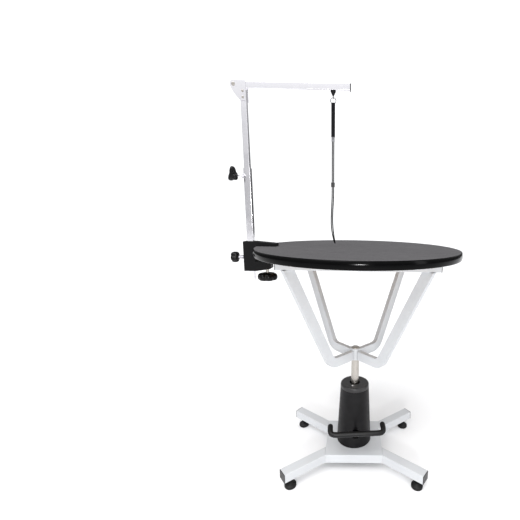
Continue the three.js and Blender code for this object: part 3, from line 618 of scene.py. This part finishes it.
def add_noose():
    cord, cord_route = add_noose_cord()
    strap, strap_route, strap_width, join = add_noose_strap()
    stitches = add_stitching(join)
    ring_centre = middle("noose_ring")
    torus = bmesh.new()
    build_torus(torus, RING_RADIUS, RING_WIRE - RING_SLACK, *RING_SIDES)
    upright = Matrix.Rotation(math.pi / 2, 3, "X")
    bmesh.ops.rotate(torus, verts=torus.verts, cent=(0, 0, 0), matrix=upright)
    bmesh.ops.translate(torus, verts=torus.verts, vec=ring_centre)
    stands_for(mesh_object("ring", torus), "noose_ring", finish="fitting_steel")
    crimp = softened("noose_crimp", 0.0006, finish="fitting_steel")
    slider = softened("noose_slider", 0.0008)


def build_torus(bm, radius, wire, segments, sides):
    """A torus about Z at the origin."""
    rings = []
    for i in range(segments):
        turn = 2 * math.pi * i / segments
        ring = []
        for j in range(sides):
            tip = 2 * math.pi * j / sides
            r = radius + wire * math.cos(tip)
            height = wire * math.sin(tip)
            ring.append(bm.verts.new((r * math.cos(turn), r * math.sin(turn), height)))
        rings.append(ring)
    for i in range(segments):
        a, b = rings[i], rings[(i + 1) % segments]
        for j in range(sides):
            k = (j + 1) % sides
            bm.faces.new((a[j], a[k], b[k], b[j]))


# ---- table top ----
ROUND = 192                           # sides of the large round pieces
BULGE = 0.0014                        # how far the rim's middle stands out from its edges
RIM_LOW_ROUND = 0.003
RIM_HIGH_ROUND = 0.0035
RIM_STEPS = 8
LIP = 0.012                           # how far the edge band reaches in under the board
LIP_THICK = 0.0017
LIP_CHAMFER = 0.0002
RIM_CHAMFER = 0.0003
MAT_GAP = 0.0002
MAT_ROUND = 0.0012
MAT_RINGS = 14
MAT_RINGS_WITHIN = 0.99               # the flat rings' share of the mat's radius


def add_top():
    low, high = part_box("edge_band")
    centre = (middle("edge_band").x, 0, 0)
    radius = (high.x - low.x) / 2
    mat_low, mat_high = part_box("table_mat")
    inside = (mat_high.x - mat_low.x) / 2 + MAT_GAP
    edge = radius - BULGE
    start = low.z + RIM_LOW_ROUND
    end = high.z - RIM_HIGH_ROUND
    profile = [(inside - LIP, low.z + LIP_CHAMFER), (inside - LIP + LIP_CHAMFER, low.z)]
    # The face bulges a little between its rounded edges.
    profile += corner(RIM_LOW_ROUND, edge - RIM_LOW_ROUND, start, -90, -12, 4)
    for i in range(1, RIM_STEPS):
        share = i / RIM_STEPS
        profile.append((radius - BULGE * (2 * share - 1) ** 2, start + (end - start) * share))
    profile += corner(RIM_HIGH_ROUND, edge - RIM_HIGH_ROUND, end, 12, 90, 5)
    profile += [(inside + RIM_CHAMFER, high.z), (inside, high.z - RIM_CHAMFER)]
    profile += [(inside, low.z + LIP_THICK), (inside - LIP, low.z + LIP_THICK)]
    band = lathe(profile, ROUND, centre, closed=True)
    stands_for(mesh_object("edge_trim", band), "edge_band", finish="edge_vinyl")

    top = mat_high.z
    disc = (mat_high.x - mat_low.x) / 2
    profile = [(0, mat_low.z), (disc, mat_low.z)]
    profile += corner(MAT_ROUND, disc - MAT_ROUND, top - MAT_ROUND, 0, 90, 4)
    for i in range(1, MAT_RINGS):
        profile.append((disc * (MAT_RINGS - i) / MAT_RINGS * MAT_RINGS_WITHIN, top))
    profile += [(0, top)]
    stands_for(mesh_object("mat_sheet", lathe(profile, ROUND, centre)), "table_mat")
    softened("table_board", 0.0008)


# ---- base and frame ----
FOOT_LOW_ROUND = 0.0015
FOOT_HIGH_ROUND = 0.004
FOOT_SIDE_TOP = 0.0075                # height at which the foot's side turns in
FOOT_SHOULDER = (0.72, 0.0142)        # a share of the foot's radius, and a height
FOOT_NECK = ((0.0102, 0.0168), (0.0085, 0.0185))
FOOT_THREADS = 9
FOOT_THREAD_START = 0.0190
FOOT_THREAD_PITCH = 0.00165
FOOT_THREAD_FLANK = 0.0008
FOOT_THREAD_CREST = 0.0052
FOOT_THREAD_ROOT = 0.0046
ROD_ROUND = 0.003
ROD_CENTRE = (0.004, 0.003, 0.0015)   # the centre drilling's outer and inner radius, and its depth


def add_frame():
    softened("base_plate", 0.0012, 3)
    for name in CORNERS:
        softened("leg_" + name, 0.0008)
        softened("leg_cap_" + name, 0.0012, 3)
        softened("arm_" + name, 0.0009)
        softened("rail_plug_" + name, 0.0008)
        add_foot(name)
    softened("column_hub", 0.0008)
    softened("top_rail_front", 0.0009)
    softened("top_rail_back", 0.0009)
    add_rod()


def add_foot(name):
    node = "levelling_foot_" + name
    low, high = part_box(node)
    centre = (low + high) / 2
    radius = (high.x - low.x) / 2
    profile = [(0, 0), (radius - FOOT_LOW_ROUND, 0)]
    profile += corner(FOOT_LOW_ROUND, radius - FOOT_LOW_ROUND, FOOT_LOW_ROUND, -90, 0, 4)
    profile += corner(FOOT_HIGH_ROUND, radius - FOOT_HIGH_ROUND, FOOT_SIDE_TOP, 0, 60, 5)
    profile += [(radius * FOOT_SHOULDER[0], FOOT_SHOULDER[1]), *FOOT_NECK]
    for i in range(FOOT_THREADS):
        z = FOOT_THREAD_START + i * FOOT_THREAD_PITCH
        profile += [(FOOT_THREAD_CREST, z), (FOOT_THREAD_ROOT, z + FOOT_THREAD_FLANK)]
    profile += [(FOOT_THREAD_ROOT, high.z), (0, high.z)]
    foot = lathe(profile, TURNED_SIDES, (centre.x, centre.y, 0))
    stands_for(mesh_object("foot_" + name, foot), node)


def add_rod():
    low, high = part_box("piston_rod")
    radius = (high.x - low.x) / 2
    centre = (middle("piston_rod").x, 0, 0)
    wide, narrow, depth = ROD_CENTRE
    profile = [(0, low.z), (radius, low.z), (radius, high.z - ROD_ROUND)]
    profile += corner(ROD_ROUND, radius - ROD_ROUND, high.z - ROD_ROUND, 15, 90, 5)
    profile += [(wide, high.z), (narrow, high.z - depth), (0, high.z - depth)]
    stands_for(mesh_object("lift_rod", lathe(profile, TURNED_SIDES, centre)), "piston_rod")


# ---- pump ----
PEDAL_TURN = math.radians(5)          # the pedal points this far to one side
PEDAL_Y = -0.118                      # the foot bar's centreline
PEDAL_Z = 0.170
PEDAL_RADIUS = 0.0095
PEDAL_SIDES = 24
# The foot bar in millimetres about its middle: its straight run, then the right horn's Bezier
# points.
BAR_RUN = (-50, -25, 0, 25, 50)
HORN = ((70, 0, 0), (97, 0, 0), (97, 8, 3), (95, 30, 13))
HORN_STEPS = 14


def add_pump():
    softened("pump_cover", 0.0008)
    # The lid takes a lighter copy of the pump's paint: painted light against the table top's
    # shadow.
    softened("cover_lid", 0.0006, 3, finish="lid_lit_pump_paint")
    softened("lid_screw", 0.0003)
    softened("cylinder_gland", 0.0005)
    softened("pedal_lever", 0.001)
    add_foot_bar()


def add_foot_bar():
    """The rubber-sleeved bar, with horns that bend back and a little up."""

    def bezier(p, t):
        weights = ((1 - t) ** 3, 3 * t * (1 - t) ** 2, 3 * t * t * (1 - t), t ** 3)
        return Vector([sum(w * q[axis] for w, q in zip(weights, p)) for axis in range(3)])

    right = [bezier(HORN, i / HORN_STEPS) for i in range(HORN_STEPS + 1)]
    left = [Vector((-p.x, p.y, p.z)) for p in reversed(right)]
    middle_run = [Vector((x, 0, 0)) for x in BAR_RUN]
    turn = Matrix.Rotation(PEDAL_TURN, 4, "Z")
    place = Matrix.Translation((COLUMN_X, 0, 0)) @ turn @ Matrix.Translation((0, PEDAL_Y, PEDAL_Z))
    points = [place @ (p / 1000) for p in left + middle_run + right]
    bar = sweep("foot_bar_sleeve", points, PEDAL_RADIUS, PEDAL_SIDES)
    stands_for(bar, "pedal_bar", finish="pedal_rubber")


# ---- clamp and mast ----
# A knob's section: shares of its radius and height, and how deep the notches cut there.
KNOB_ROWS = (
    (0.0, 0.10, 0.0), (0.30, 0.07, 0.0), (0.55, 0.02, 0.3), (0.78, 0.0, 0.8), (0.90, 0.05, 1.0),
    (0.97, 0.16, 1.0), (1.0, 0.34, 1.0), (1.0, 0.52, 1.0), (0.97, 0.70, 1.0), (0.90, 0.83, 1.0),
    (0.78, 0.92, 0.9), (0.60, 0.97, 0.6), (0.42, 1.0, 0.2), (0.34, 1.04, 0.0),
)
SIDES_PER_LOBE = 16
CENTRE_RADIUS = 1e-5                  # the first row's radius, where its points are then joined
CENTRE_MERGE = 5e-5
KNOBS = {
    "clamp_knob": {
        "lobes": 6, "radius": 0.034, "height": 0.026,
        "notch": 0.17, "sharpness": 3.0, "neck": 0.001,
    },
    "mast_lock_knob": {
        "lobes": 5, "radius": 0.019, "height": 0.024,
        "notch": 0.2, "sharpness": 2.5, "neck": 0.001,
    },
    "telescope_lock_knob": {
        "lobes": 3, "radius": 0.0268, "height": 0.016,
        "notch": 0.6, "sharpness": 0.9, "neck": 0.003,
    },
}
STUDS = {
    "mast_lock_knob": {"radius": 0.006, "start": 0.024, "end": 0.0574},
    "telescope_lock_knob": {"radius": 0.004, "start": 0.017, "end": 0.0436},
}
THREAD_PITCH = 0.0015
THREAD_ROOT = 0.86                    # a share of the stud's radius
TELE_LOCK_Z = 1.049
TELE_LOCK_REACH = 0.056               # from the mast's middle to the knob's outer face


def knob_mesh(lobes, radius, height, notch, sharpness, neck):
    """A moulded knob: its outer face at z = 0, rounded lobes round a skirt, and a neck above."""
    sides = lobes * SIDES_PER_LOBE
    bm = bmesh.new()
    rings = []
    for share, level, cut in KNOB_ROWS:
        ring = []
        for i in range(sides):
            turn = 2 * math.pi * i / sides
            dip = (0.5 - 0.5 * math.cos(lobes * turn)) ** sharpness
            r = max(radius * share * (1 - notch * cut * dip), CENTRE_RADIUS)
            ring.append(bm.verts.new((r * math.cos(turn), r * math.sin(turn), height * level)))
        rings.append(ring)
    rings.append([bm.verts.new((v.co.x, v.co.y, height + neck)) for v in rings[-1]])
    for low, high in zip(rings, rings[1:]):
        for i in range(sides):
            j = (i + 1) % sides
            bm.faces.new((low[i], low[j], high[j], high[i]))
    bm.faces.new(rings[-1])
    bmesh.ops.remove_doubles(bm, verts=bm.verts, dist=CENTRE_MERGE)
    return bm


def stud_mesh(radius, start, end):
    """A threaded stud from start to end along Z."""
    profile = [(0, start)]
    for i in range(int((end - start) / THREAD_PITCH)):
        z = start + i * THREAD_PITCH
        profile += [(radius * THREAD_ROOT, z), (radius, z + THREAD_PITCH * 0.5)]
    profile += [(radius * THREAD_ROOT, end), (0, end)]
    return lathe(profile, STUD_SIDES)


def add_knobs():
    mast_x = middle("mast_lower_tube").x
    clamp_low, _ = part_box("clamp_knob")
    screw_x = middle("clamp_knob").x
    lock_low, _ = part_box("mast_lock_knob")
    lock_z = middle("mast_lock_knob").z
    quarter = math.pi / 2
    # This knob stands out from the mast's corner, to the front and left.
    wing_place = Matrix.Translation((mast_x, 0, TELE_LOCK_Z))
    wing_place = wing_place @ Matrix.Rotation(-quarter / 2, 4, "Z")
    wing_place = wing_place @ Matrix.Translation((0, -TELE_LOCK_REACH, 0))
    wing_place = wing_place @ Matrix.Rotation(-quarter, 4, "X") @ Matrix.Rotation(-quarter, 4, "Z")
    places = {
        "clamp_knob": Matrix.Translation((screw_x, 0, clamp_low.z)),
        "mast_lock_knob": (
            Matrix.Translation((lock_low.x, 0, lock_z)) @ Matrix.Rotation(quarter, 4, "Y")
        ),
        "telescope_lock_knob": wing_place,
    }
    for node, place in places.items():
        bm = knob_mesh(**KNOBS[node])
        bmesh.ops.transform(bm, matrix=place, verts=bm.verts)
        stands_for(mesh_object("moulded_" + node, bm), node)
        if node in STUDS:
            bm = stud_mesh(**STUDS[node])
            bmesh.ops.transform(bm, matrix=place, verts=bm.verts)
            piece = detail(mesh_object("stud_" + node, bm), node, "chrome")


def add_clamp_and_mast():
    softened("clamp_body", 0.0026, 3)
    softened("clamp_screw", 0.0004, 1)
    softened("clamp_pad", 0.0006)
    add_knobs()
    for node in (
        "mast_lower_tube", "mast_upper_tube", "crossbar", "bracket_plate_front",
        "bracket_plate_back",
    ):
        softened(node, 0.0006)
    for node in (
        "crossbar_end_plug", "crossbar_pin", "bracket_rivet_1", "bracket_rivet_2",
        "swivel_hanger",
    ):
        softened(node, 0.0003)


def finish_hidden():
    """The remaining CAD nodes keep their shape and take their slot's finish."""
    for name, node in frame["nodes"].items():
        if not node.hide_render:
            node.data.materials.clear()
            node.data.materials.append(SLOT_FINISH[SLOT_OF[name]])


# ---- studio ----
FLOOR_HALF = 14
FLOOR_DROP = 0.0005                   # the floor lies this far under the feet
KEY_FROM = (-0.4, -0.85, 1.7)         # the direction the broad key light shines from
KEY_POWER = 1.6
KEY_SPREAD = math.radians(50)
# Place, target, size and power of the small lights.
AREA_LIGHTS = {
    "front": ((0.12, -2.7, 1.05), (0, 0, 0.8), (0.34, 0.16), 20),
    "fill": ((2.2, -1.2, 1.4), (0, 0, 0.5), (0.5, 1.4), 4),
}
# The world's strength: pale in front and dim behind, with more added towards overhead.
FRONT_TO_BACK = (-0.6, 0.7, 0.48, 0.1)
UP = (0.0, 0.5, 0.0, 0.5)
WORLD_COLOR = (0.985, 0.99, 1, 1)
BACKDROP_STRENGTH = 1.0               # what the camera sees behind the floor, plain and pale


def link_light(name, kind, power, direction):
    """A light of that kind that shines along direction."""
    data = bpy.data.lights.new(name, kind)
    data.energy = power
    light = bpy.data.objects.new(name, data)
    bpy.context.scene.collection.objects.link(light)
    light.rotation_euler = direction.to_track_quat("-Z", "Y").to_euler()
    return light


def add_floor():
    bm = bmesh.new()
    bmesh.ops.create_grid(bm, x_segments=1, y_segments=1, size=FLOOR_HALF)
    floor = mesh_object("floor", bm)
    floor.location.z = -FLOOR_DROP
    floor.data.materials.append(FINISHES["floor_paper"])


def add_world():
    world = bpy.data.worlds.new("studio")
    world.use_nodes = True
    tree = world.node_tree
    place = tree.nodes.new("ShaderNodeTexCoord").outputs["Generated"]
    split = tree.nodes.new("ShaderNodeSeparateXYZ")
    tree.links.new(place, split.inputs["Vector"])
    total = tree.nodes.new("ShaderNodeMath")
    for axis, limits, term in (("Y", FRONT_TO_BACK, 0), ("Z", UP, 1)):
        strength = map_range(tree, split.outputs[axis], limits, "SMOOTHSTEP")
        tree.links.new(strength, total.inputs[term])
    seen = tree.nodes.new("ShaderNodeLightPath").outputs["Is Camera Ray"]
    mix = tree.nodes.new("ShaderNodeMix")
    tree.links.new(seen, mix.inputs["Factor"])
    tree.links.new(total.outputs["Value"], mix.inputs["A"])
    mix.inputs["B"].default_value = BACKDROP_STRENGTH
    background = tree.nodes["Background"]
    background.inputs["Color"].default_value = WORLD_COLOR
    tree.links.new(mix.outputs["Result"], background.inputs["Strength"])
    bpy.context.scene.world = world


def add_studio():
    add_floor()
    add_world()
    key = link_light("key", "SUN", KEY_POWER, -Vector(KEY_FROM))
    key.data.angle = KEY_SPREAD
    for name, (place, target, size, power) in AREA_LIGHTS.items():
        light = link_light(name, "AREA", power, Vector(target) - Vector(place))
        light.location = place
        light.data.shape = "RECTANGLE"
        light.data.size, light.data.size_y = size


add_camera()
add_noose()
add_top()
add_frame()
add_pump()
add_clamp_and_mast()
finish_hidden()
add_studio()
